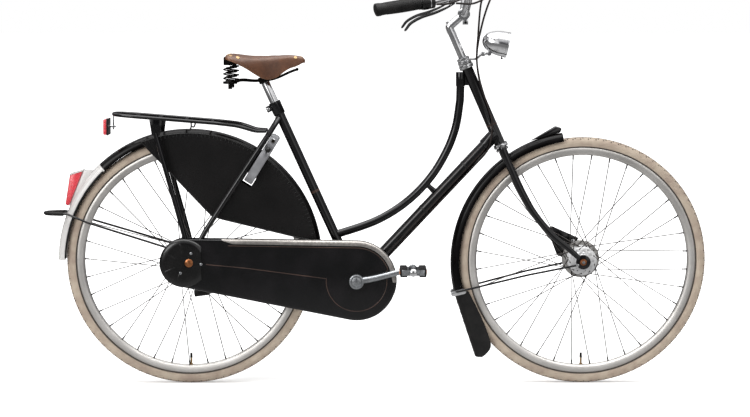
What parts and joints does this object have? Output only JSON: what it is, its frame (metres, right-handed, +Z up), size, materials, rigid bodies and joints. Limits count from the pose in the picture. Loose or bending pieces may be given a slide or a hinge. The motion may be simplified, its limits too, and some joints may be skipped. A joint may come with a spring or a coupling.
{
  "type": "bicycle",
  "caption": "Step-through roadster bicycle with curved top tube, full chain case, mudguards, coat guards, carrier, hub gear and sprung leather saddle.",
  "frame": {"origin": "on the ground under the middle of the whole bicycle, half way along its length and in its middle plane", "axes": "+X forwards, towards the front wheel; +Y to the rider's left; +Z up"},
  "size_m": [1.9156, 0.6276, 1.1524],
  "materials": {
    "black_enamel": "gloss black enamel",
    "chrome": "polished chrome plate",
    "dark_steel": "dark steel",
    "black_plastic": "satin black plastic",
    "white_enamel": "gloss white enamel",
    "red_plastic": "clear red lens",
    "grey_plastic": "satin grey plastic",
    "aluminium": "satin aluminium",
    "black_rubber": "matt black rubber",
    "clear_plastic": "clear lens",
    "tan_tyre": "matt tan rubber",
    "steel": "ground steel",
    "leather": "waxed brown leather"
  },
  "bodies": {
    "frame": {"head_tube": "black_enamel", "top_tube": "black_enamel", "down_tube": "black_enamel", "seat_tube": "black_enamel", "seat_clamp_bolt": "chrome", "chain_stays": "black_enamel", "seat_stays": "black_enamel", "chain": "dark_steel", "chain_case_outer": "black_enamel", "chain_case_inner": "black_enamel", "chain_case_rear_cap": "black_plastic", "rear_mudguard": "black_enamel", "rear_mudguard_tail": "white_enamel", "tail_light": "red_plastic", "rear_mudguard_stay": "black_enamel", "rear_rack": "black_enamel", "rear_reflector": "red_plastic", "coat_guard_right": "black_plastic", "coat_guard_left": "black_plastic", "lock_body": "grey_plastic", "rear_axle": "chrome", "rear_brake_unit": "aluminium", "shift_cable": "black_rubber", "brake_cable": "black_rubber"},
    "fork": {"fork": "black_enamel", "front_axle": "chrome", "front_brake_unit": "aluminium", "front_mudguard": "black_enamel", "mudflap": "black_rubber", "front_mudguard_stay": "black_enamel", "stem": "chrome", "handlebar": "chrome", "grip_right": "black_rubber", "grip_left": "black_rubber", "headlamp_shell": "chrome", "headlamp_lens": "clear_plastic", "headlamp_bracket": "chrome"},
    "front_wheel": {"front_tyre": "tan_tyre", "front_rim": "aluminium", "front_hub": "aluminium"},
    "rear_wheel": {"rear_tyre": "tan_tyre", "rear_rim": "aluminium", "rear_hub": "aluminium"},
    "rear_sprocket": {"rear_sprocket": "dark_steel"},
    "crank": {"crank_axle": "steel", "chainring": "steel", "right_crank_arm": "aluminium", "left_crank_arm": "aluminium"},
    "right_pedal": {"right_pedal": "black_rubber"},
    "left_pedal": {"left_pedal": "black_rubber"},
    "seat_post": {"seat_post": "chrome", "saddle_frame": "dark_steel", "saddle_spring_left": "dark_steel", "saddle_spring_right": "dark_steel"},
    "saddle": {"saddle_leather": "leather"},
    "kickstand": {"kickstand": "black_enamel"},
    "right_brake_lever": {"right_brake_lever": "aluminium"},
    "left_brake_lever": {"left_brake_lever": "aluminium"},
    "shifter": {"shifter": "black_rubber"},
    "lock_shackle": {"lock_shackle": "chrome"}
  },
  "joints": [
    {"name": "steering", "type": "hinge", "parent": "frame", "child": "fork", "pos_m": [0.36208, 0, 0.69379], "axis": [-0.4019, 0, 0.9157], "range_deg": [-60, 60], "deforming": ["shift_cable", "brake_cable"]},
    {"name": "front_wheel_spin", "type": "hinge", "parent": "fork", "child": "front_wheel", "pos_m": [0.60035, 0, 0.3575], "axis": [0, 1, 0], "continuous": true},
    {"name": "rear_wheel_spin", "type": "hinge", "parent": "frame", "child": "rear_wheel", "pos_m": [-0.53365, 0, 0.3575], "axis": [0, 1, 0], "continuous": true},
    {"name": "crank_spin", "type": "hinge", "parent": "frame", "child": "crank", "pos_m": [-0.05217, 0, 0.3053], "axis": [0, 1, 0], "continuous": true},
    {"name": "sprocket_spin", "type": "hinge", "parent": "frame", "child": "rear_sprocket", "pos_m": [-0.53365, 0, 0.3575], "axis": [0, 1, 0], "continuous": true},
    {"name": "right_pedal_spin", "type": "hinge", "parent": "crank", "child": "right_pedal", "pos_m": [0.10847, -0.1435, 0.34298], "axis": [0, 1, 0], "continuous": true},
    {"name": "left_pedal_spin", "type": "hinge", "parent": "crank", "child": "left_pedal", "pos_m": [-0.21281, 0.1435, 0.26762], "axis": [0, 1, 0], "continuous": true},
    {"name": "seat_post_slide", "type": "slide", "parent": "frame", "child": "seat_post", "axis": [-0.4131, 0, 0.9107], "range_m": [-0.05, 0.05]},
    {"name": "saddle_rock", "type": "hinge", "parent": "seat_post", "child": "saddle", "pos_m": [-0.22315, 0, 0.91], "axis": [0, 1, 0], "range_deg": [-3.5, 0], "stiffness_Nm_per_rad": 1600, "deforming": ["saddle_spring_left", "saddle_spring_right"]},
    {"name": "kickstand_fold", "type": "hinge", "parent": "frame", "child": "kickstand", "pos_m": [-0.24236, 0.0545, 0.28492], "axis": [0, -0.9613, -0.2756], "range_deg": [0, 95]},
    {"name": "right_brake_lever_pull", "type": "hinge", "parent": "fork", "child": "right_brake_lever", "pos_m": [0.20794, -0.2445, 1.09576], "axis": [0, 1, 0], "range_deg": [0, 8], "stiffness_Nm_per_rad": 1.3, "springref_deg": -17.19},
    {"name": "left_brake_lever_pull", "type": "hinge", "parent": "fork", "child": "left_brake_lever", "pos_m": [0.20794, 0.2445, 1.09576], "axis": [0, 1, 0], "range_deg": [0, 8], "stiffness_Nm_per_rad": 1.3, "springref_deg": -17.19},
    {"name": "shifter_twist", "type": "hinge", "parent": "fork", "child": "shifter", "pos_m": [0.16372, -0.25219, 1.10519], "axis": [-0.951, -0.2727, -0.1454], "range_deg": [0, 100]},
    {"name": "lock_shackle_turn", "type": "hinge", "parent": "frame", "child": "lock_shackle", "pos_m": [-0.33549, 0, 0.6346], "axis": [0.8482, 0, -0.5297], "range_deg": [0, 78], "stiffness_Nm_per_rad": 0.3, "springref_deg": -28.65}
  ],
  "couplings": [
    {"joint": "sprocket_spin", "follows": "crank_spin", "ratio": 2.1111}
  ]
}
